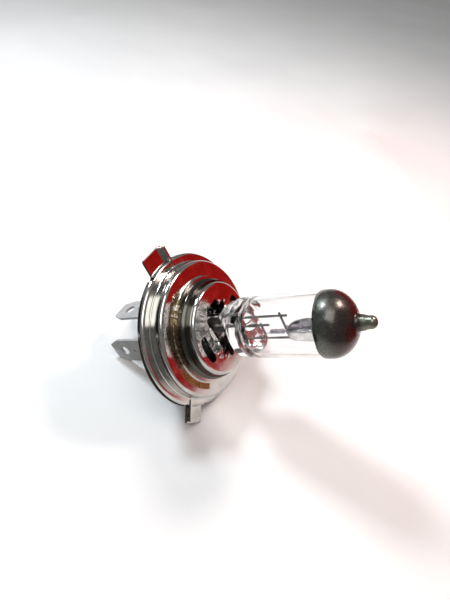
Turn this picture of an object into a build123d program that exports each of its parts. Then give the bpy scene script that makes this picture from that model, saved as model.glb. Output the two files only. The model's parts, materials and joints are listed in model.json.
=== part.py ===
from build123d import *
import math
import os

# Twin-filament headlight bulb with a three-lug flange base, lying on a flat surface.
# Every piece is designed in the bulb's own directions: Z runs along the glass towards
# the tip, Y points to the wide lug, and Z = 0 is the seating face of the lugs.
# The whole set is then turned as it lies: on the brim and the ends of both side contacts.

# --- sheet metal base ---------------------------------------------------------------
sheet = 0.6                 # thickness of every base stamping
brim_radius = 21.5          # outer radius of the turned-back brim
brim_rise = 1.05            # front of the brim above the seating face
drum_radius = 18.95         # locating drum that enters the reflector
drum_height = 4.8           # drum face above the seating face
neck_radius = 14.4          # turned-up neck round the opening of the drum face
neck_height = 1.15          # neck above the drum face
lug_length = 4.25           # lug tips beyond the brim
wide_lug_width = 8.0
narrow_lug_width = 6.0
narrow_lug_angle = 135.0    # from the wide lug to each narrow lug
lug_corner = 0.6
lip_height = 1.35           # stiffening lip on one side of each lug
lip_clearance = 0.4         # between a lip's inner end and the drum
notch_radius = 1.0          # relief notches beside the lugs
shell_radius = 16.8         # rear shell, shallow enough to stay behind the brim
shell_length = 4.2          # rear shell behind the seating face
shell_shoulder = 0.9        # where the rear shell widens into the drum
shoulder_bend = 0.45        # centre-line radius of that widening
crimp_radius = 15.0         # opening left by the crimped rear edge
bend_radius = 0.65          # centre-line radius of the sheet's bends

# --- glass holder --------------------------------------------------------------------
holder_height = 9.75        # holder's front face above the seating face
holder_radius = 12.6
holder_bend = 0.9
sleeve_front = 8.1          # focus sleeve's front edge
sleeve_step = 6.6           # where the sleeve steps in to the holder
sleeve_rear = 2.4
holder_rear = 3.6
slot_inner = 7.9            # curved slots in the holder's face
slot_outer = 10.4
slot_sweep = 36.0
slot_count = 2
window_width = 9.0          # opening that the glass passes through
window_length = 12.0
window_end_width = 5.4      # its narrower ends
window_end_length = 16.2
window_corner = 0.6
sleeve_bend = 0.05          # inner radius of the sleeve's two bends
clip_sheet = 0.3
clip_width = 7.5
clip_drop = 1.6             # straight part of a clip down the opening's edge
clip_depth = 3.4            # a clip's end below the holder's face
clip_foot = 1.2             # how far a clip's foot reaches over the holder's face
clip_bend = 0.3             # centre-line radius

# --- glass ---------------------------------------------------------------------------
glass_radius = 7.9
glass_wall = 1.0
dome_start = 40.6           # end of the straight tube
dome_height = 6.3
coat_start = 39.3           # edge of the dark coating
coat_thickness = 0.12
nipple_radius = 1.85
nipple_length = 4.1
nipple_rounding = 0.75      # rounding of the nipple's end, as a share of its radius
tube_rear = 13.2            # rear end of the round tube
tube_rounding = 3.2         # outer rounding of that end
cavity_rear = 17.4
cavity_rounding = 2.4
pinch_width = 11.6
pinch_thickness = 3.7
pinch_corner = 1.2
pinch_rounding = 1.0        # rounding of the pinch's front end
pinch_rear = 2.2
pinch_front = 19.2          # the glass mound that the wires leave

# --- wires and filaments -------------------------------------------------------------
wire_radius = 0.3
low_wire_y = 3.1
high_wire_y = 0.35
common_wire_y = -4.0
low_wire_front = 30.3
high_wire_front = 24.3
common_wire_front = 28.6
low_bar_z = 29.0
low_bar_overhang = 1.3      # crossbar past its support wire
high_bar_z = 22.5
high_bar_overhang = 1.05
high_bar_reach = 1.2        # crossbar past the coil that it carries
filament_radius = 0.65      # outside radius of a coil
filament_wire = 0.16        # thickness of the coiled tungsten
high_coil_centre = (-0.5, -1.4)
high_coil_rear = 24.0       # main-beam coil
high_coil_front = 28.3
low_coil_centre = (-0.15, -0.4)
low_coil_rear = 30.2        # dipped-beam coil
low_coil_front = 35.7
leg_overlap = 0.4           # a straight filament leg inside its coil's end
leg_gap = 0.02              # between the dipped coil's front leg and the shield
front_leg_rise = 1.1        # dipped coil's front leg ahead of the coil
front_leg_bend = 0.4
shield_radius = 4.1
shield_wall = 0.25
shield_rear = 29.6
shield_front = 38.4
shield_rounding = 3.0       # round rear end of the shield
shield_tilt = 15.0          # the shield's edges are turned by the cut-off angle
foil_width = 2.0
foil_length = 7.0
foil_thickness = 0.1
foil_rear = 4.5
lead_radius = 0.35
lead_bend = 0.8
lead_drop = 0.8             # straight lead behind the pinch before it turns aside
lead_step = 0.5             # how far it falls on the way to its contact
lead_weld = 1.8             # straight end welded to the contact
common_lead_shift = 1.0     # the common lead meets its contact this much higher

# --- terminals and insulator -----------------------------------------------------------
blade_width = 8.0
blade_thickness = 0.8
blade_rear = 26.3           # side blades' ends behind the seating face
top_blade_rear = 25.3       # the top blade is set a little further forward
blade_inner = 0.8           # side blades' inner ends, ahead of the seating face
blade_hole_radius = 1.5
blade_hole_from_end = 4.5
dimple_radius = 0.45
dimple_from_end = 8.4
corner_cut_width = 1.35
corner_cut_length = 3.3
side_blade_offset = 8.5
top_blade_offset = 8.2
insulator_front = 1.4       # all three behind the seating face
insulator_step = 3.2
insulator_rear = 5.6
platform_radius = 13.6
platform_chamfer = 0.5
boss_margin = 1.0           # raised boss round each contact
boss_height = 0.8

# --- derived places --------------------------------------------------------------------
cavity_radius = glass_radius - glass_wall
foil_front = foil_rear + foil_length
lug_reach = brim_radius + lug_length            # lug tips from the axis
bar_offset = 2 * wire_radius                    # crossbars lie against the support wires
low_leg_y = -wire_radius - filament_wire        # dipped coil's rear leg lies under its crossbar


def sheet_ring(points, thickness, radius):
    """Turn a bent strip of sheet, given by its centre line (radius, height), about Z."""
    path = FilletPolyline(*points, radius=radius)
    section = Plane.XZ * trace(path, line_width=thickness)
    return revolve(section, Axis.Z)


def disc(radius, bottom, top):
    return Pos(0, 0, bottom) * Cylinder(radius, top - bottom, align=(Align.CENTER, Align.CENTER, Align.MIN))


def block(width, depth, bottom, top):
    return Pos(0, 0, bottom) * Box(width, depth, top - bottom, align=(Align.CENTER, Align.CENTER, Align.MIN))


def rod(start, end, radius):
    start = Vector(*start)
    end = Vector(*end)
    way = end - start
    return Plane(origin=start, z_dir=way) * Cylinder(
        radius, way.length, align=(Align.CENTER, Align.CENTER, Align.MIN)
    )


def bent_rod(points, bend, radius):
    path = FilletPolyline(*points, radius=bend)
    start = Plane(origin=path @ 0, z_dir=path % 0)
    return sweep(start * Circle(radius), path=path)


# --- base --------------------------------------------------------------------------------
def lug(width):
    """One lug pointing along +Y, with a stiffening lip on its clockwise side."""
    root = brim_radius - 2 * sheet
    plate = Pos(0, (root + lug_reach) / 2, -sheet / 2) * Box(width, lug_reach - root, sheet)
    plate = fillet(plate.edges().filter_by(Axis.Z).group_by(Axis.Y)[-1], lug_corner)
    lip_root = drum_radius + lip_clearance
    lip = Pos(width / 2 - sheet / 2, (lip_root + lug_reach - lug_corner) / 2, lip_height / 2 - sheet / 2)
    lip = lip * Box(sheet, lug_reach - lug_corner - lip_root, lip_height + sheet)
    return plate + lip


def mounting_flange():
    half = sheet / 2
    ring = sheet_ring(
        [
            (brim_radius - half, -sheet),
            (brim_radius - half, brim_rise - half),
            (drum_radius - half, brim_rise - half),
            (drum_radius - half, drum_height - half),
            (neck_radius - half, drum_height - half),
            (neck_radius - half, drum_height + neck_height),
        ],
        sheet,
        bend_radius,
    )
    inside = disc(brim_radius - sheet, -2 * sheet, sheet)
    for angle, width in lug_places():
        for side in (-1, 1):
            notch = Pos(side * (width / 2 + notch_radius), brim_radius, 0)
            notch = notch * Cylinder(notch_radius, 4 * brim_rise)
            ring -= Rot(0, 0, angle) * notch
    for angle, width in lug_places():
        ring += Rot(0, 0, angle) * (lug(width) - inside)
    return ring


def lug_places():
    return [
        (0, wide_lug_width),
        (narrow_lug_angle, narrow_lug_width),
        (-narrow_lug_angle, narrow_lug_width),
    ]


def rear_shell():
    half = sheet / 2
    wide = drum_radius - sheet - half
    return sheet_ring(
        [
            (wide, drum_height - sheet - bend_radius),
            (wide, -shell_shoulder),
            (shell_radius - half, -shell_shoulder),
            (shell_radius - half, half - shell_length),
            (crimp_radius, half - shell_length),
        ],
        sheet,
        [shoulder_bend, shoulder_bend, bend_radius],
    )


def blade_outline():
    """Flat outline of a contact blade: X across, Y along, with the free end at Y = 0."""
    half = blade_width / 2
    length = blade_rear + blade_inner
    return make_face(
        Polyline(
            (-half + corner_cut_width, 0),
            (half - corner_cut_width, 0),
            (half, corner_cut_length),
            (half, length),
            (-half, length),
            (-half, corner_cut_length),
            close=True,
        )
    )


def blade(offset, angle, rear):
    """A contact blade whose flat side faces the axis, at an angle from the wide lug."""
    outline = blade_outline()
    outline -= Pos(0, blade_hole_from_end) * Circle(blade_hole_radius)
    outline -= Pos(0, dimple_from_end) * Circle(dimple_radius)
    flat = extrude(Plane.XZ * outline, blade_thickness / 2, both=True)
    return Rot(0, 0, angle) * Pos(0, offset, -rear) * flat


def blade_places():
    return {
        "low_beam_terminal": (top_blade_offset, 0, top_blade_rear),
        "high_beam_terminal": (side_blade_offset, 90, blade_rear),
        "ground_terminal": (side_blade_offset, -90, blade_rear),
    }


def insulator(blades):
    body = disc(shell_radius - sheet, -insulator_step, -insulator_front)
    body += disc(platform_radius, -insulator_rear, -insulator_step)
    rim = body.edges().filter_by(GeomType.CIRCLE).group_by(Axis.Z)[0]
    body = chamfer(rim, platform_chamfer)
    width = blade_width + 2 * boss_margin
    depth = blade_thickness + 2 * boss_margin
    for offset, angle, end in blade_places().values():
        boss = block(width, depth, -insulator_rear - boss_height, -insulator_step)
        body += Rot(0, 0, angle) * Pos(0, offset, 0) * boss
    for piece in blades:
        body -= piece
    return body


# --- glass holder -----------------------------------------------------------------------
def focus_sleeve():
    half = sheet / 2
    low = neck_radius - sheet - half
    high = holder_radius + half
    ring = sheet_ring(
        [(low, sleeve_rear), (low, sleeve_step), (high, sleeve_step + low - high), (high, sleeve_front)],
        sheet,
        half + sleeve_bend,
    )
    return ring


def curved_slot():
    middle = (slot_inner + slot_outer) / 2
    half = slot_sweep / 2
    path = CenterArc((0, 0), middle, -half, slot_sweep)
    strip = trace(path, line_width=slot_outer - slot_inner)
    for end in (path @ 0, path @ 1):
        strip += Pos(end.X, end.Y) * Circle((slot_outer - slot_inner) / 2)
    return strip


def glass_holder():
    half = sheet / 2
    cup = sheet_ring(
        [
            (holder_radius - half, holder_rear),
            (holder_radius - half, holder_height - half),
            (window_width / 2 - half, holder_height - half),
        ],
        sheet,
        holder_bend - half,
    )
    window = RectangleRounded(window_width, window_length, window_corner)
    window += RectangleRounded(window_end_width, window_end_length, window_corner)
    cutter = Pos(0, 0, holder_height - 2 * sheet)
    cup -= extrude(cutter * window, 3 * sheet)
    for index in range(slot_count):
        turned = Rot(0, 0, index * 360 / slot_count) * curved_slot()
        cup -= extrude(cutter * turned, 3 * sheet)
    return cup


def pinch_clip(side):
    """A spring strip from the holder's face, down through its opening, to one flat of the pinch."""
    half = clip_sheet / 2
    touch = pinch_thickness / 2 + clip_sheet / 3
    edge = window_width / 2 - clip_bend
    path = FilletPolyline(
        (edge + clip_bend + clip_foot, holder_height + half),
        (edge, holder_height + half),
        (edge, holder_height - clip_drop),
        (touch, holder_height - clip_depth),
        radius=clip_bend,
    )
    strip = Plane.XZ * trace(path, line_width=clip_sheet)
    clip = extrude(strip, clip_width / 2, both=True)
    return Rot(0, 0, 0 if side > 0 else 180) * clip


# --- glass --------------------------------------------------------------------------------
def tip_profile(extra):
    """Half outline of the closed front end, grown outwards by extra."""
    radius = glass_radius + extra
    height = dome_height + extra
    pip = nipple_radius + extra
    apex = dome_start + dome_height
    lift = height * math.sqrt(1 - (pip / radius) ** 2)
    end = apex + nipple_length + extra
    return radius, height, pip, dome_start + lift, end


def half_ellipsoid(radius, height):
    """Solid dome on the end of the straight tube."""
    middle = (0, dome_start)
    arc = EllipticalCenterArc(middle, radius, height, 0, arc_size=90)
    side = Line((0, dome_start + height), middle)
    floor = Line(middle, (radius, dome_start))
    return revolve(Plane.XZ * make_face([arc, side, floor]), Axis.Z)


def front_form(extra, rear):
    radius, height, pip, join, end = tip_profile(extra)
    tube = disc(radius, rear, dome_start)
    dome = half_ellipsoid(radius, height)
    stem = disc(pip, dome_start, end)
    stem = fillet(stem.edges().filter_by(GeomType.CIRCLE).group_by(Axis.Z)[-1], pip * nipple_rounding)
    return tube + dome + stem


def glass_envelope(inner_pieces):
    form = front_form(0, tube_rear)
    rear_rim = form.edges().filter_by(GeomType.CIRCLE).group_by(Axis.Z)[0]
    form = fillet(rear_rim, tube_rounding)
    cavity = disc(cavity_radius, cavity_rear, dome_start)
    cavity = fillet(cavity.edges().filter_by(GeomType.CIRCLE).group_by(Axis.Z)[0], cavity_rounding)
    cavity += half_ellipsoid(cavity_radius, dome_height - glass_wall)
    outline = RectangleRounded(pinch_thickness, pinch_width, pinch_corner)
    pinch = extrude(Pos(0, 0, pinch_rear) * outline, pinch_front - pinch_rear)
    pinch = fillet(pinch.edges().group_by(Axis.Z)[-1], pinch_rounding)
    body = form - (cavity - pinch) + (pinch - form)
    for piece in inner_pieces:
        body -= piece
    return body


def dome_coating():
    outside = front_form(coat_thickness, coat_start)
    inside = front_form(0, coat_start - 1)
    return outside - inside


# --- wires, filaments and shield -------------------------------------------------------------
def wire_places():
    """Height above the axis, front end and terminal of the three wires in the pinch."""
    return {
        "low_beam": (low_wire_y, low_wire_front),
        "high_beam": (high_wire_y, high_wire_front),
        "common": (common_wire_y, common_wire_front),
    }


def foils():
    made = {}
    for name, (y, front) in wire_places().items():
        made[name + "_foil"] = Pos(0, y, 0) * block(foil_thickness, foil_width, foil_rear, foil_front)
    return made


def support_wires():
    made = {}
    for name, (y, front) in wire_places().items():
        made[name + "_support_wire"] = rod((0, y, foil_front), (0, y, front), wire_radius)
    return made


def crossbar(top, bottom, height):
    """A short bar welded across the side of a support wire."""
    return rod((-bar_offset, top, height), (-bar_offset, bottom, height), wire_radius)


def lead_wires():
    """Leads from the foils to the inner faces of the terminals."""
    top = top_blade_offset - blade_thickness / 2 - lead_radius
    side = side_blade_offset - blade_thickness / 2 - lead_radius
    ends = {
        "low_beam": (0, top),
        "high_beam": (-side, high_wire_y),
        "common": (side, common_wire_y + common_lead_shift),
    }
    made = {}
    for name, (y, front) in wire_places().items():
        x_end, y_end = ends[name]
        turn = pinch_rear - lead_drop
        points = [
            (0, y, foil_rear),
            (0, y, turn),
            (x_end, y_end, turn - lead_step),
            (x_end, y_end, turn - lead_step - lead_weld),
        ]
        made[name + "_lead_wire"] = bent_rod(points, lead_bend, lead_radius)
    return made


def coil(centre, rear, front):
    """The outer form of a coil: a tube whose wall is twice the wound wire."""
    form = disc(filament_radius, rear, front) - disc(filament_radius - 2 * filament_wire, rear, front)
    return Pos(centre[0], centre[1], 0) * form


def high_beam_filament():
    x, y = high_coil_centre
    rear_x = -bar_offset - wire_radius - filament_wire
    body = coil(high_coil_centre, high_coil_rear, high_coil_front)
    rear_end = (rear_x, y, high_bar_z - wire_radius)
    body += rod(rear_end, (rear_x, y, high_coil_rear + leg_overlap), filament_wire)
    front_x = x + filament_radius - filament_wire
    body += rod((front_x, y, high_coil_front - leg_overlap), (front_x, y, common_wire_front), filament_wire)
    return body


def low_beam_filament():
    x, y = low_coil_centre
    body = coil(low_coil_centre, low_coil_rear, low_coil_front)
    rear_end = (-bar_offset, low_leg_y, low_bar_z - wire_radius)
    body += rod(rear_end, (-bar_offset, low_leg_y, low_coil_rear + leg_overlap), filament_wire)
    leg_y = y - filament_radius + filament_wire
    reach = shield_radius - shield_wall - leg_gap
    turn = low_coil_front + front_leg_rise
    points = [
        (x, leg_y, low_coil_front - leg_overlap),
        (x, leg_y, turn),
        (x, -reach, turn),
    ]
    return body + bent_rod(points, front_leg_bend, filament_wire)


def beam_shield():
    """Half of a round-ended cup under the dipped-beam coil."""
    outer = disc(shield_radius, shield_rear, shield_front)
    outer = fillet(outer.edges().filter_by(GeomType.CIRCLE).group_by(Axis.Z)[0], shield_rounding)
    inner = disc(shield_radius - shield_wall, shield_rear + shield_wall, shield_front + 1)
    inner = fillet(
        inner.edges().filter_by(GeomType.CIRCLE).group_by(Axis.Z)[0], shield_rounding - shield_wall
    )
    cup = outer - inner
    cup -= Pos(0, 10, 0) * block(20, 20, shield_rear - 1, shield_front + 2)
    cup = Rot(0, 0, -shield_tilt) * cup
    passage = Pos(-bar_offset, low_leg_y, 0) * disc(2.5 * filament_wire, shield_rear - 1, shield_rear + 1)
    return cup - passage


def shield_bracket():
    """Small plate that joins the common wire, the shield and the main-beam coil's front leg."""
    top = low_leg_y + 0.2
    bottom = common_wire_y - 0.4
    plate = block(2 * (bar_offset - filament_wire) - 0.2, top - bottom, common_wire_front, shield_rear)
    return Pos(0, (top + bottom) / 2, 0) * plate


# --- the whole bulb, as it lies ------------------------------------------------------------------
def lying_plane():
    """Directions of the bulb when the brim and the ends of both side blades touch the floor."""
    rise = brim_radius - (blade_width / 2 - corner_cut_width)
    run = blade_rear - sheet
    tilt = math.atan2(rise, run)
    along_bulb = (math.cos(tilt), 0, math.sin(tilt))
    return Plane(origin=(0, 0, 0), x_dir=(0, 1, 0), z_dir=along_bulb)


blades = {name: blade(*place) for name, place in blade_places().items()}
wires = {**foils(), **support_wires(), **lead_wires()}
pieces = {
    "mounting_flange": mounting_flange(),
    "rear_shell": rear_shell(),
    "insulator": insulator(blades.values()),
    **blades,
    "focus_sleeve": focus_sleeve(),
    "glass_holder": glass_holder(),
    "pinch_clip_left": pinch_clip(-1),
    "pinch_clip_right": pinch_clip(1),
    "glass_envelope": glass_envelope(wires.values()),
    "dome_coating": dome_coating(),
    **wires,
    "low_beam_crossbar": crossbar(low_wire_y + low_bar_overhang, -wire_radius, low_bar_z),
    "high_beam_crossbar": crossbar(
        high_wire_y + high_bar_overhang, high_coil_centre[1] - high_bar_reach, high_bar_z
    ),
    "high_beam_filament": high_beam_filament(),
    "low_beam_filament": low_beam_filament(),
    "beam_shield": beam_shield(),
    "shield_bracket": shield_bracket(),
}

os.makedirs("parts", exist_ok=True)
placed = Location(lying_plane())
for name, shape in pieces.items():
    export_step(placed * shape, "parts/" + name + ".step")
print(len(pieces), "pieces, bulb directions:", lying_plane())
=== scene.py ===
import math
import json
import bpy
import bmesh
from mathutils import Matrix, Vector


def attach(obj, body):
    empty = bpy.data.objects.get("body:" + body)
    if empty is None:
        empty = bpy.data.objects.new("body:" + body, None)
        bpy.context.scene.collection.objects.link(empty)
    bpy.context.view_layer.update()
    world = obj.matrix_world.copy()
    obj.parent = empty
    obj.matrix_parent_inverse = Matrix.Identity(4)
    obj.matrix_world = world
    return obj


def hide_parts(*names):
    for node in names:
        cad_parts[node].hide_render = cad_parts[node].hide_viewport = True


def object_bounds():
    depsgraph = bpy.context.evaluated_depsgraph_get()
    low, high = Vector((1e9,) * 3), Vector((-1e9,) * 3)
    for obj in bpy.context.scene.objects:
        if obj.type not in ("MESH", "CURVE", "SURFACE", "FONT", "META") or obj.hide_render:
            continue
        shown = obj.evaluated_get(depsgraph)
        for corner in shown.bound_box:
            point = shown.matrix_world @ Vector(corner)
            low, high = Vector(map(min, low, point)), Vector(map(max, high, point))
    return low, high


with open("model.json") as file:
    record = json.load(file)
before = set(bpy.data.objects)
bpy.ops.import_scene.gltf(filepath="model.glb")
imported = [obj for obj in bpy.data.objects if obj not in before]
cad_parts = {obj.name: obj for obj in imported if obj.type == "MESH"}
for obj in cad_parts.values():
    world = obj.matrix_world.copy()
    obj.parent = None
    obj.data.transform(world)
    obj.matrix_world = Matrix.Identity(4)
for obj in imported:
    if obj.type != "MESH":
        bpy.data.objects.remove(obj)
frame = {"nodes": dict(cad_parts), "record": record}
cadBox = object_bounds()
mm = 0.001

# ---- directions of the bulb, taken from its mounts ----
mounts = {mount["name"]: mount for mount in frame["record"]["mounts"]}
alongBulb = Vector(mounts["locating_drum"]["axis"]).normalized()  # towards the glass tip
towardsWideLug = Vector(mounts["low_beam_contact"]["axis"]).normalized()
acrossBulb = towardsWideLug.cross(alongBulb)
bulbTurn = Matrix((acrossBulb, towardsWideLug, alongBulb)).transposed()
floorHeight = cadBox[0][2]

# ---- shader sums ----


class Sock:
    def __init__(self, tree, socket=None):
        self.tree = tree
        self.socket = socket

    def node(self, kind, settings=None, values=None, output=0):
        made = self.tree.nodes.new("ShaderNode" + kind)
        for name, value in (settings or {}).items():
            if name == "stops":
                setStops(made.color_ramp, value)
            else:
                setattr(made, name, value)
        for name, value in (values or {}).items():
            if isinstance(value, Sock):
                self.tree.links.new(value.socket, made.inputs[name])
            else:
                made.inputs[name].default_value = value
        return Sock(self.tree, made.outputs[output])

    def maths(self, operation, *terms):
        return self.node("Math", {"operation": operation}, dict(enumerate(terms)))

    def __add__(self, other):
        return self.maths("ADD", self, other)

    def __sub__(self, other):
        return self.maths("SUBTRACT", self, other)

    def __rsub__(self, other):
        return self.maths("SUBTRACT", other, self)

    def __mul__(self, other):
        return self.maths("MULTIPLY", self, other)

    def __pow__(self, other):
        return self.maths("POWER", self, other)

    __radd__ = __add__
    __rmul__ = __mul__

    def blend(self, first, second):  # colours mixed by this mask
        return self.node("Mix", {"data_type": "RGBA"}, {0: self, 6: first, 7: second}, 2)

    def ramp(self, *stops):
        return self.node("ValToRGB", {"stops": stops}, {"Fac": self})

    def fade(self, low, high):  # 0 below low, 1 above high, smooth between
        ends = {"Value": self, "From Min": low, "From Max": high}
        return self.node("MapRange", {"interpolation_type": "SMOOTHSTEP"}, ends)

    def noise(self, scale, detail=3.0, rough=0.5):
        values = {"Vector": self, "Scale": scale, "Detail": detail, "Roughness": rough}
        return self.node("TexNoise", None, values)

    def part(self, index):
        return self.node("SeparateXYZ", None, {0: self}, index)

    def bump(self, strength, distance, below=None):
        values = {"Height": self, "Strength": strength, "Distance": distance}
        if below:
            values["Normal"] = below
        return self.node("Bump", None, values)


def setStops(ramp, stops):
    while len(ramp.elements) < len(stops):
        ramp.elements.new(1.0)
    for element, (place, colour) in zip(ramp.elements, stops):
        element.position = place
        element.color = colour


def grey(level, warmth=0.0):
    return (level * (1 + warmth), level, level * (1 - warmth), 1.0)


def newFinish(name):
    material = bpy.data.materials.new(name)
    material.use_nodes = True
    tree = material.node_tree
    shader = tree.nodes["Principled BSDF"]
    spot = Sock(tree).node("TexCoord", output=3)
    turn = bulbTurn.inverted().to_euler()
    values = {"Vector": spot, "Rotation": turn, "Scale": (1 / mm, 1 / mm, 1 / mm)}
    return material, shader, spot.node("Mapping", None, values)  # the last reads bulb directions in mm


def feed(shader, **values):
    for name, value in values.items():
        slot = shader.inputs[name.replace("_", " ")]
        if isinstance(value, Sock):
            value.tree.links.new(value.socket, slot)
        else:
            slot.default_value = value


# ---- finishes ----
def platedSteel(name, tone=0.62, rough=0.07, tint=(1.0, 0.985, 0.94)):
    look = {
        "cloudScale": 0.22, "markScale": 2.4, "grainScale": 14.0,
        "markDepth": 0.03, "grainDepth": 0.006, "darkShare": 0.62,
    }
    material, shader, place = newFinish(name)
    x, y, z = place.part(0), place.part(1), place.part(2)
    radius = (x * x + y * y) ** 0.5
    cloud = place.noise(look["cloudScale"], 4.0, 0.6)
    ringed = place.node("CombineXYZ", None, {0: radius * 3.0, 1: z * 3.0, 2: cloud * 0.6})
    marks = ringed.noise(look["markScale"], 3.0, 0.55)
    grain = place.noise(look["grainScale"], 2.0, 0.5)
    dark = tuple(tone * look["darkShare"] * part for part in tint) + (1.0,)
    light = tuple(tone * part for part in tint) + (1.0,)
    base = (cloud * 0.6 + marks * 0.4).ramp((0.32, dark), (0.62, light))
    roughness = cloud.fade(0.35, 0.75) * 0.1 + marks * 0.05 + rough
    ripple = marks.bump(0.14, look["markDepth"] * mm)
    feed(shader, Metallic=1.0, Normal=grain.bump(0.25, look["grainDepth"] * mm, ripple))
    found = {"y": y, "x": x, "z": z, "radius": radius, "base": base, "roughness": roughness}
    return material, shader, place, found


def flangeSteel():  # plated steel with the heat tint and the plain gold patch on the drum's face
    look = {
        "patchInner": 14.75, "patchOuter": 16.6, "patchFrom": -3.13, "patchTo": -2.3,
        "heatEdge": (15.9, 17.1), "heatFrom": (1.6, 2.0), "faceHeight": 4.55,
    }
    material, shader, place, found = platedSteel("flange_steel")
    z, radius = found["z"], found["radius"]
    angle = z.maths("ARCTAN2", found["y"], found["x"])
    face = z.fade(look["faceHeight"], look["faceHeight"] + 0.12)
    edge = place.noise(1.1, 4.0, 0.6)
    wander = edge * 1.4 - 0.7
    patchBand = (radius.fade(look["patchInner"], look["patchInner"] + 0.2)
                 * (1.0 - radius.fade(look["patchOuter"] - 0.2, look["patchOuter"])))
    patchArc = (angle.fade(look["patchFrom"], look["patchFrom"] + 0.03)
                * (1.0 - angle.fade(look["patchTo"] - 0.03, look["patchTo"])))
    patch = patchBand * patchArc * face
    heatBand = 1.0 - (radius + wander).fade(*look["heatEdge"])
    heatArc = angle.fade(*look["heatFrom"]) * edge.fade(0.38, 0.55)
    heat = heatBand * heatArc * face
    speckle = place.noise(3.2, 4.0, 0.75)
    gold = speckle.ramp((0.4, (0.10, 0.045, 0.012, 1.0)), (0.62, (0.42, 0.25, 0.075, 1.0)))
    straw = speckle.ramp((0.38, (0.05, 0.03, 0.015, 1.0)), (0.66, (0.34, 0.25, 0.12, 1.0)))
    colour = patch.blend(heat.blend(found["base"], straw), gold)
    rough = found["roughness"] + patch * 0.28 + heat * 0.2
    pits = speckle.bump((patch + heat * 0.7) * 0.5, 0.06 * mm)
    feed(shader, Base_Color=colour, Roughness=rough, Normal=pits)
    return material


def plainSteel(name, **look):
    material, shader, place, found = platedSteel(name, **look)
    feed(shader, Base_Color=found["base"], Roughness=found["roughness"])
    return material


def holderSteel():  # the face is crumpled round the opening for the glass
    look = {"crumpleEdge": (7.4, 8.6), "faceHeight": (9.2, 9.6), "crumpleDepth": 0.6}
    material, shader, place, found = platedSteel("holder_steel")
    near = (1.0 - found["radius"].fade(*look["crumpleEdge"])) * found["z"].fade(*look["faceHeight"])
    crumple = place.noise(0.55, 1.5, 0.5)
    soot = near * place.noise(0.5, 3.0).fade(0.5, 0.62)
    dents = crumple.bump(near * 0.75, look["crumpleDepth"] * mm)
    colour = soot.blend(found["base"], grey(0.12))
    feed(shader, Base_Color=colour, Roughness=found["roughness"], Normal=dents)
    return material


def contactMetal():
    look = {"dark": 0.40, "light": 0.54, "rough": 0.46}
    material, shader, place = newFinish("contact_metal")
    cloud = place.noise(0.35, 4.0, 0.6)
    drawn = place.node("Mapping", None, {"Vector": place, "Scale": (6, 6, 0.5)}).noise(1.6, 3.0, 0.6)
    fine = place.noise(11.0, 3.0, 0.6)
    mix = cloud * 0.55 + drawn * 0.45
    tone = mix.ramp((0.35, grey(look["dark"])), (0.62, grey(look["light"])))
    rough = drawn * 0.15 + look["rough"]
    skin = fine.bump(0.3, 0.012 * mm, drawn.bump(0.25, 0.02 * mm))
    feed(shader, Base_Color=tone, Metallic=0.4, Roughness=rough, Normal=skin)
    return material


def insulatorPlastic():
    material, shader, place = newFinish("insulator")
    cloud = place.noise(0.6, 4.0)
    grain = place.noise(7.0, 3.0, 0.65)
    tone = (cloud * 0.6 + grain * 0.4).ramp((0.35, grey(0.02, 0.04)), (0.65, grey(0.045, 0.04)))
    feed(shader, Base_Color=tone, Roughness=grain * 0.2 + 0.42, Normal=grain.bump(0.4, 0.03 * mm))
    return material


def quartzGlass():
    material, shader, place = newFinish("quartz")
    haze = place.noise(0.4, 3.0)
    waves = place.node("Mapping", None, {"Vector": place, "Scale": (1, 1, 0.25)}).noise(0.35, 2.0)
    tone = haze.ramp((0.3, (0.985, 0.99, 0.99, 1.0)), (0.7, (1.0, 1.0, 1.0, 1.0)))
    feed(shader, Base_Color=tone, Roughness=0.0, IOR=1.46, Transmission_Weight=1.0)
    feed(shader, Normal=waves.bump(0.2, 0.15 * mm))
    return material


def darkCoating():  # gunmetal with small pits; browner in clouds towards the tip, a painted reflection of the red surroundings
    material, shader, place = newFinish("dark_coating")
    look = {"reflectedRedFrom": 42.0, "reflectedRedTo": 47.0, "tipFrom": 47.4, "tipTo": 48.4}
    z = place.part(2)
    cloud = place.noise(0.28, 4.0, 0.65)
    pits = place.noise(2.6, 3.0, 0.7)
    spots = place.node("TexVoronoi", None, {"Vector": place, "Scale": 1.7}).fade(0.12, 0.05)
    cool = (cloud * 0.7 + pits * 0.3).ramp((0.36, grey(0.055)), (0.62, (0.15, 0.16, 0.14, 1.0)))
    # painted reflection: this brown-red tone stands in for the red surroundings seen in the coating
    reflectedRed = pits.ramp((0.35, (0.03, 0.02, 0.018, 1.0)), (0.65, (0.085, 0.06, 0.052, 1.0)))
    # mask of the painted reflection: towards the tip, with a cloudy edge
    side = (z + cloud * 3.0).fade(look["reflectedRedFrom"], look["reflectedRedTo"])
    tip = z.fade(look["tipFrom"], look["tipTo"])
    body = side.blend(cool, reflectedRed)
    tone = (spots * pits.fade(0.5, 0.6)).blend(tip.blend(body, (0.16, 0.17, 0.13, 1.0)), grey(0.02))
    rough = cloud.fade(0.4, 0.7) * 0.14 + 0.24
    feed(shader, Base_Color=tone, Metallic=0.82, Roughness=rough, Coat_Roughness=0.08)
    feed(shader, Coat_Weight=0.2, Normal=pits.bump(0.3, 0.04 * mm, cloud.bump(0.3, 0.3 * mm)))
    return material


def drawnWire(name, light=0.33, rough=0.28):
    material, shader, place = newFinish(name)
    fine = place.node("Mapping", None, {"Vector": place, "Scale": (7, 7, 0.8)}).noise(1.5, 3.0)
    cloud = place.noise(0.8, 3.0)
    tone = (fine * 0.5 + cloud * 0.5).ramp((0.35, grey(light * 0.45)), (0.65, grey(light)))
    feed(shader, Base_Color=tone, Metallic=1.0, Roughness=cloud * 0.2 + rough)
    feed(shader, Normal=fine.bump(0.3, 0.02 * mm))
    return material


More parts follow.
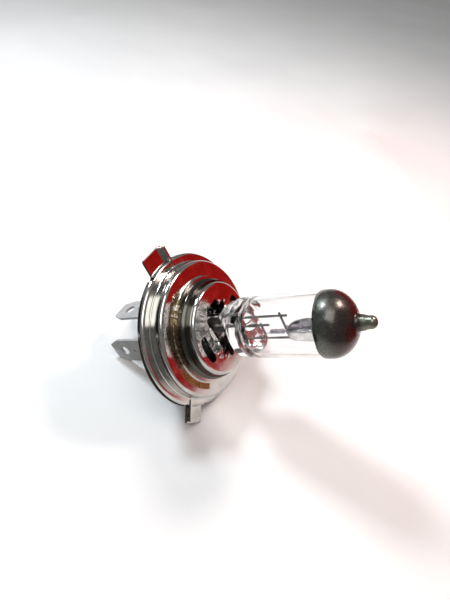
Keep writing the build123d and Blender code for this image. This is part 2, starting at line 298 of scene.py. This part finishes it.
def tungsten():
    material, shader, place = newFinish("tungsten")
    cloud = place.noise(1.4, 3.0)
    tone = cloud.ramp((0.35, (0.60, 0.57, 0.63, 1.0)), (0.65, (0.82, 0.79, 0.86, 1.0)))
    feed(shader, Base_Color=tone, Metallic=1.0, Roughness=cloud * 0.15 + 0.15)
    feed(shader, Normal=cloud.bump(0.2, 0.02 * mm))
    return material


def shieldMetal():
    material, shader, place = newFinish("shield_metal")
    crease = place.noise(0.9, 3.0, 0.65)
    cloud = place.noise(0.35, 3.0)
    tone = cloud.ramp((0.35, grey(0.66)), (0.65, grey(0.88)))
    feed(shader, Base_Color=tone, Metallic=1.0, Roughness=cloud * 0.12 + 0.12)
    feed(shader, Normal=crease.bump(0.8, 0.5 * mm))
    return material


finishes = {
    "plated_steel": plainSteel("plated_steel"),
    "contact_metal": contactMetal(),
    "insulator": insulatorPlastic(),
    "quartz": quartzGlass(),
    "dark_coating": darkCoating(),
    "molybdenum": drawnWire("molybdenum"),
    "tungsten": tungsten(),
    "shield_metal": shieldMetal(),
}
special = {
    "mounting_flange": flangeSteel(),
    # the sleeve is the plated steel painted near black: a painted dark reflection of the drum face and
    # surroundings
    "focus_sleeve": plainSteel("sleeve_steel_painted_dark", tone=0.10, rough=0.12, tint=(1.0, 0.97, 0.84)),
    "glass_holder": holderSteel(),
    "shield_bracket": drawnWire("bracket_metal", 0.12, 0.35),
}
for part in frame["record"]["subparts"]:
    mesh = frame["nodes"][part["node"]].data
    mesh.materials.clear()
    mesh.materials.append(special.get(part["node"], finishes[part["material_slot"]]))
print("finishes made")


# ---- forms, in bulb directions and mm ----
def ringOf(form, count, place):
    made = bmesh.ops.create_circle(form, cap_ends=False, radius=1.0, segments=count)["verts"]
    for index, vert in enumerate(made):
        vert.co = place(math.tau * index / count)
    return made


def nextRing(form, ring, place):
    edges = [edge for edge in form.edges if edge.verts[0] in ring and edge.verts[1] in ring]
    grown = bmesh.ops.extrude_edge_only(form, edges=edges)["geom"]
    fresh = {vert for vert in grown if isinstance(vert, bmesh.types.BMVert)}
    found = []
    for index, old in enumerate(ring):
        new = next(edge.other_vert(old) for edge in old.link_edges if edge.other_vert(old) in fresh)
        new.co = place(math.tau * index / len(ring))
        found.append(new)
    return found


def closeRing(form, ring):
    bmesh.ops.contextual_create(form, geom=ring)


def loft(form, places, count):  # one skin through a list of ring outlines
    ring = ringOf(form, count, places[0])
    first = ring
    for place in places[1:]:
        ring = nextRing(form, ring, place)
    return first, ring


def turned(form, outline, count, start=0.0, sweep=math.tau):  # outline is (radius, height) pairs
    whole = abs(sweep - math.tau) < 1e-6
    vert = bmesh.ops.create_vert(form, co=(outline[0][0], 0, outline[0][1]))["vert"][0]
    chain = [vert]
    for radius, height in outline[1:]:
        made = bmesh.ops.extrude_vert_indiv(form, verts=[vert])
        vert = made["verts"][0]
        vert.co = (radius, 0, height)
        chain.append(vert)
    bmesh.ops.rotate(form, verts=chain, cent=(0, 0, 0), matrix=Matrix.Rotation(start, 3, "Z"))
    edges = {edge for vert in chain for edge in vert.link_edges}
    bmesh.ops.spin(form, geom=chain + list(edges), cent=(0, 0, 0), axis=(0, 0, 1), angle=sweep,
                   steps=count, use_merge=whole)
    bmesh.ops.remove_doubles(form, verts=form.verts, dist=1e-4)


def tubeAlong(form, path, radius, sides=8):  # round wire through points
    points = [Vector(point) for point in path]
    up = Vector((0.31, 0.87, 0.12)).normalized()
    places = []
    for index, point in enumerate(points):
        way = (points[min(index + 1, len(points) - 1)] - points[max(index - 1, 0)]).normalized()
        side = (up - way * up.dot(way)).normalized()
        up = side
        other = way.cross(side)
        places.append(lambda turn, point=point, side=side, other=other:
                      point + (side * math.cos(turn) + other * math.sin(turn)) * radius)
    first, last = loft(form, places, sides)
    closeRing(form, first)
    closeRing(form, last)


def addPiece(name, form, finish, node):
    bmesh.ops.transform(form, matrix=bulbTurn.to_4x4() @ Matrix.Scale(mm, 4), verts=form.verts)
    mesh = bpy.data.meshes.new(name)
    form.to_mesh(mesh)
    form.free()
    mesh.shade_smooth()
    mesh.materials.append(finishes[finish])
    piece = bpy.data.objects.new(name, mesh)
    bpy.context.scene.collection.objects.link(piece)
    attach(piece, "root")
    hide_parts(node)


def arcPoints(centre, radii, start, end, count):
    found = []
    for index in range(count + 1):
        turn = math.radians(start + (end - start) * index / count)
        found.append((centre[0] + radii[0] * math.cos(turn), centre[1] + radii[1] * math.sin(turn)))
    return found


# ---- glass with its pinch, lumps and closed tip ----
glass = {
    "radius": 7.9, "wall": 1.0, "domeStart": 40.6, "domeHeight": 6.2, "sides": 128,
    "pinchHalf": (1.85, 5.8), "pinchRear": 2.2, "pinchEnd": 11.4, "tubeStart": 17.2,
    "nippleBase": 1.85, "nippleEnd": 1.42, "tip": 51.0, "tipRound": 1.25,
    "pinchRings": (6.5, 10.0), "easeRings": 22, "tubeRings": (18.5, 24, 30, 36, 39.5),
    "wallRings": (36, 30, 25, 22, 20.6), "floorRings": 27, "floorRim": 20.3, "floor": 17.5,
    "wires": (3.1, 0.35, -4.0), "lobeRise": 2.3, "lobeWide": (1.5, 1.25),
    "ridgeRise": 0.9, "ridgeWide": 2.4, "rimRise": 1.6, "rimFrom": 4.6, "rimWide": 2.3, "ripple": 0.12,
}


def tipOutline(grow):
    radius, height, start = glass["radius"] + grow, glass["domeHeight"] + grow, glass["domeStart"]
    quarter = arcPoints((0, start), (radius, height), 0, 90, 40)
    dome = [(r, z) for r, z in quarter if r > glass["nippleBase"] + 0.75]
    base = glass["nippleBase"] + grow
    last = dome[-1]
    neck = [
        (last[0] - 0.35, last[1] + 0.07), (base + 0.2, last[1] + 0.28), (base, last[1] + 0.75),
        (base - 0.08, last[1] + 1.5), (base - 0.3, last[1] + 2.2), (glass["nippleEnd"] + grow, last[1] + 2.8),
    ]
    end = glass["nippleEnd"] + grow
    top = glass["tip"] + grow
    rounding = glass["tipRound"]
    cap = [(max(r, 0.0), z) for r, z in arcPoints((0, top - rounding), (end, rounding), 0, 90, 8)]
    return dome + neck + cap


def pinchOutline(share, height):
    ease = share * share * (3 - 2 * share)
    halfX = glass["pinchHalf"][0] * (1 - ease) + glass["radius"] * ease
    halfY = glass["pinchHalf"][1] * (1 - ease) + glass["radius"] * ease
    power = 7.0 - 5.0 * min(1.0, share * 1.5)

    def place(turn):
        c, s = math.cos(turn), math.sin(turn)
        reach = (abs(c / halfX) ** power + abs(s / halfY) ** power) ** (-1 / power)
        return Vector((reach * c, reach * s, height))

    return place


def roundOutline(radius, height):
    return lambda turn: Vector((radius * math.cos(turn), radius * math.sin(turn), height))


def lumpHeight(x, y):
    lift = 0.0
    for wire in glass["wires"]:
        away = (x / glass["lobeWide"][0]) ** 2 + ((y - wire) / glass["lobeWide"][1]) ** 2
        lift = max(lift, glass["lobeRise"] * math.exp(-away))
    ridge = glass["ridgeRise"] * math.exp(-(x / glass["ridgeWide"]) ** 2)
    outwards = max(0.0, (math.hypot(x, y) - glass["rimFrom"]) / glass["rimWide"])
    rim = glass["rimRise"] * outwards ** 2
    return glass["floor"] + lift + ridge + rim + glass["ripple"] * math.sin(2.3 * x + 1.7 * y)


def glassSkin(form):
    span = glass["tubeStart"] - glass["pinchEnd"]
    places = [pinchOutline(0.0, glass["pinchRear"]), pinchOutline(0.0, glass["pinchRear"] + 0.3)]
    places += [pinchOutline(0.0, height) for height in glass["pinchRings"]]
    for step in range(glass["easeRings"] + 1):
        share = step / glass["easeRings"]
        places.append(pinchOutline(share, glass["pinchEnd"] + span * share))
    places += [roundOutline(glass["radius"], height) for height in glass["tubeRings"]]
    places += [roundOutline(r, z) for r, z in tipOutline(0.0)[:-1]]
    first, last = loft(form, places, glass["sides"])
    closeRing(form, first)
    closeRing(form, last)


def cavitySkin(form):
    inner = glass["radius"] - glass["wall"]
    dome = arcPoints((0, glass["domeStart"]), (inner, glass["domeHeight"] - glass["wall"]), 88, 0, 22)
    places = [roundOutline(r, z) for r, z in dome]
    places += [roundOutline(inner, height) for height in glass["wallRings"]]
    for step in range(1, glass["floorRings"]):
        radius = inner * (1 - step / glass["floorRings"])
        blend = min(1.0, step / 4.0)

        def place(turn, radius=radius, blend=blend):
            x, y = radius * math.cos(turn), radius * math.sin(turn)
            return Vector((x, y, glass["floorRim"] * (1 - blend) + lumpHeight(x, y) * blend))

        places.append(place)
    first, last = loft(form, places, glass["sides"])
    closeRing(form, first)
    closeRing(form, last)


def addGlass():
    outer = bmesh.new()
    glassSkin(outer)
    bmesh.ops.recalc_face_normals(outer, faces=outer.faces)
    inner = bmesh.new()
    cavitySkin(inner)
    bmesh.ops.recalc_face_normals(inner, faces=inner.faces)
    bmesh.ops.reverse_faces(inner, faces=inner.faces)
    holding = bpy.data.meshes.new("cavity")
    inner.to_mesh(holding)
    inner.free()
    outer.from_mesh(holding)
    bpy.data.meshes.remove(holding)
    addPiece("glass_bulb", outer, "quartz", "glass_envelope")


# ---- coating over the tip ----
coating = {"lift": 0.12, "edge": 39.3, "edgeRadius": 8.02, "skirt": (8.03, 40.2), "depth": 0.09}


def addCoating():
    form = bmesh.new()
    outside = [(coating["edgeRadius"], coating["edge"]), coating["skirt"]]
    outside += tipOutline(coating["lift"])[:-1] + [(0.0, glass["tip"] + coating["lift"])]
    turned(form, outside, 96)
    for vert in form.verts:
        if vert.co.z < coating["edge"] + 0.01:
            turn = math.atan2(vert.co.y, vert.co.x)
            vert.co.z += 0.07 * math.sin(3 * turn + 0.6) + 0.04 * math.sin(11 * turn)
    bmesh.ops.recalc_face_normals(form, faces=form.faces)
    bmesh.ops.solidify(form, geom=list(form.faces), thickness=coating["depth"])
    bmesh.ops.recalc_face_normals(form, faces=form.faces)
    addPiece("dark_tip", form, "dark_coating", "dome_coating")


# ---- filaments, each a winding with a leg at both ends ----
winding = {"wire": 0.13, "radius": 0.52, "turnSteps": 22}
mainCoil = {
    "centre": (-0.5, -1.4), "rear": 24.15, "front": 28.15, "turns": 13,
    "rearLeg": [(-1.05, -1.4, 22.3), (-1.05, -1.4, 23.2), (-1.03, -1.4, 23.9)],
    "frontLeg": [(-1.02, -1.4, 28.3), (-0.08, -1.4, 28.75), (-0.05, -1.4, 29.2)],
}
dippedCoil = {
    "centre": (-0.15, -0.4), "rear": 30.4, "front": 35.5, "turns": 17,
    "rearLeg": [(-0.6, -0.46, 28.8), (-0.62, -0.46, 29.7), (-0.64, -0.42, 30.15)],
    "frontLeg": [(-0.61, -0.6, 35.75), (-0.4, -0.9, 36.4), (-0.2, -1.3, 36.8),
                 (-0.15, -2.2, 36.8), (-0.15, -3.75, 36.8)],
}


def helix(coil):
    found = []
    steps = coil["turns"] * winding["turnSteps"]
    for index in range(steps + 1):
        share = index / steps
        turn = math.pi + math.tau * coil["turns"] * share
        found.append((coil["centre"][0] + winding["radius"] * math.cos(turn),
                      coil["centre"][1] + winding["radius"] * math.sin(turn),
                      coil["rear"] + (coil["front"] - coil["rear"]) * share))
    return found


def addCoil(name, coil, node):
    form = bmesh.new()
    tubeAlong(form, coil["rearLeg"] + helix(coil) + coil["frontLeg"], winding["wire"])
    bmesh.ops.recalc_face_normals(form, faces=form.faces)
    addPiece(name, form, "tungsten", node)


# ---- shield under the dipped coil ----
shield = {
    "radius": 4.1, "rear": 29.6, "front": 38.4, "round": 3.0, "wall": 0.25, "tilt": 15.0, "steps": 14,
    "dentFrom": 30.2, "dentFade": 1.5, "dentDepth": 0.13,
    "dents": ((1.3, 0.0, 2.1, 0.0, 0.5), (0.0, 3.7, -1.9, 0.8, 0.35), (5.3, 0.0, 2.7, 0.0, 0.25)),
}


def shieldOutline():
    rear, rounding, steps = shield["rear"], shield["round"], shield["steps"]
    flat = shield["radius"] - rounding
    corner = arcPoints((flat, rear + rounding), (rounding, rounding), -90, 0, steps)
    length = shield["front"] - rear - rounding
    side = [(shield["radius"], rear + rounding + length * step / steps) for step in range(1, steps + 1)]
    return [(0.02, rear), (0.5, rear), (flat, rear)] + corner[1:] + side


def addShield():
    form = bmesh.new()
    turned(form, shieldOutline(), 40, math.radians(180 - shield["tilt"]), math.pi)
    bmesh.ops.recalc_face_normals(form, faces=form.faces)
    for vert in form.verts:
        x, y, z = vert.co
        dent = sum(size * math.sin(a * x + b * y + c * z + shift) for a, b, c, shift, size in shield["dents"])
        share = min(1.0, max(0.0, (z - shield["dentFrom"]) / shield["dentFade"]))
        way = Vector((x, y, 0))
        if way.length > 0.5:
            vert.co -= way.normalized() * shield["dentDepth"] * (1 + dent) * share
    bmesh.ops.solidify(form, geom=list(form.faces), thickness=shield["wall"])
    bmesh.ops.recalc_face_normals(form, faces=form.faces)
    addPiece("coil_shield", form, "shield_metal", "beam_shield")


addGlass()
addCoating()
addCoil("main_beam_coil", mainCoil, "high_beam_filament")
addCoil("dipped_beam_coil", dippedCoil, "low_beam_filament")
addShield()
print("detailed pieces made")

# ---- studio ----
studio = {
    "sensor": 36.0,
    "camera": (28.805, -74.829, 99.217),  # mm from the middle of the seating plane
    "azimuth": 16.55,
    "elevation": 46.77,
    "roll": 12.36,
    "floorSize": 6.0,
    "skyColour": (1.0, 0.99, 0.98, 1.0),
    "skyStrength": 0.24,
}


def addCamera():
    data = bpy.data.cameras.new("camera")
    data.sensor_fit = "HORIZONTAL"
    data.sensor_width = studio["sensor"]
    data.lens = studio["sensor"]
    data.clip_start = 0.005
    data.clip_end = 20.0
    camera = bpy.data.objects.new("camera", data)
    bpy.context.scene.collection.objects.link(camera)
    azimuth = math.radians(studio["azimuth"])
    tip = math.radians(90 - studio["elevation"])
    turn = Matrix.Rotation(azimuth, 4, "Z") @ Matrix.Rotation(tip, 4, "X")
    turn = turn @ Matrix.Rotation(math.radians(studio["roll"]), 4, "Z")
    camera.matrix_world = Matrix.Translation(Vector(studio["camera"]) * mm) @ turn
    bpy.context.scene.camera = camera


def cardFinish(name, colour, strength):
    material, shader, place = newFinish(name)
    mottle = place.noise(0.02, 3.0)
    soft = tuple(part * 0.93 for part in colour[:3]) + (1.0,)
    tone = mottle.ramp((0.3, soft), (0.7, colour))
    feed(shader, Base_Color=tone, Roughness=0.85)
    feed(shader, Emission_Color=tone, Emission_Strength=strength)
    shader.inputs["Specular IOR Level"].default_value = 0.1
    return material


def flatCard(name, centre, facing, width, height, colour, strength=0.0):
    form = bmesh.new()
    bmesh.ops.create_grid(form, x_segments=1, y_segments=1, size=0.5)
    bmesh.ops.scale(form, vec=(width, height, 1), verts=form.verts)
    turn = Vector(facing).to_track_quat("Z", "Y").to_matrix().to_4x4()
    bmesh.ops.transform(form, matrix=Matrix.Translation(centre) @ turn, verts=form.verts)
    mesh = bpy.data.meshes.new(name)
    form.to_mesh(mesh)
    form.free()
    mesh.materials.append(cardFinish(name, colour, strength))
    card = bpy.data.objects.new(name, mesh)
    bpy.context.scene.collection.objects.link(card)
    return card


def reflectionOnly(card, diffuse=False):  # diffuse lets the card tint the floor and the piece as well
    card.visible_camera = False
    card.visible_diffuse = diffuse
    card.visible_shadow = False
    card.visible_transmission = False


def addFloor():
    size = studio["floorSize"]
    flatCard("paper_floor", (0, 0, floorHeight), (0, 0, 1), size, size, (0.87, 0.865, 0.86, 1.0))


def addLight(name, place, target, width, height, watts, colour):
    data = bpy.data.lights.new(name, "AREA")
    data.shape = "RECTANGLE"
    data.size = width
    data.size_y = height
    data.energy = watts
    data.color = colour
    lamp = bpy.data.objects.new(name, data)
    bpy.context.scene.collection.objects.link(lamp)
    way = Vector(place) - Vector(target)
    turn = way.to_track_quat("Z", "Y").to_matrix().to_4x4()
    lamp.matrix_world = Matrix.Translation(place) @ turn


def addWorld():
    world = bpy.data.worlds.new("studio")
    world.use_nodes = True
    sky = world.node_tree.nodes["Background"]
    sky.inputs["Color"].default_value = studio["skyColour"]
    sky.inputs["Strength"].default_value = studio["skyStrength"]
    bpy.context.scene.world = world


addCamera()
addFloor()
addWorld()
addLight("overhead", (0.02, -0.09, 0.36), (0, 0, 0), 0.24, 0.24, 0.60, (1.0, 0.99, 0.97))
addLight("warm_right", (0.10, 0.15, 0.22), (0, 0, 0), 0.05, 0.05, 0.44, (1.0, 0.86, 0.80))
addLight("cool_left", (-0.20, 0.07, 0.28), (0, 0, 0), 0.06, 0.06, 0.86, (0.86, 0.94, 1.0))
# cards that only reflections see: one red, two dark
red = flatCard("red_card", (0.107, 0.089, floorHeight + 0.045), (-0.767, -0.638, 0), 0.30, 0.09,
               (0.27, 0.004, 0.003, 1.0), 0.75)
reflectionOnly(red, True)
dark = flatCard("dark_card", (-0.21, -0.16, floorHeight + 0.05), (0.80, 0.60, 0), 0.40, 0.10,
                (0.01, 0.01, 0.01, 1.0))
reflectionOnly(dark)
# painted shadow: this dark card lies on the floor beside the bulb and stands in, for reflections only, for
# the bulb's shadow on the paper
under = flatCard("floor_shadow_card", (-0.070, -0.075, floorHeight + 0.001), (0, 0, 1), 0.16, 0.13,
                 (0.03, 0.022, 0.015, 1.0))
reflectionOnly(under)
bpy.context.scene.view_settings.view_transform = "Standard"
print("studio ready")
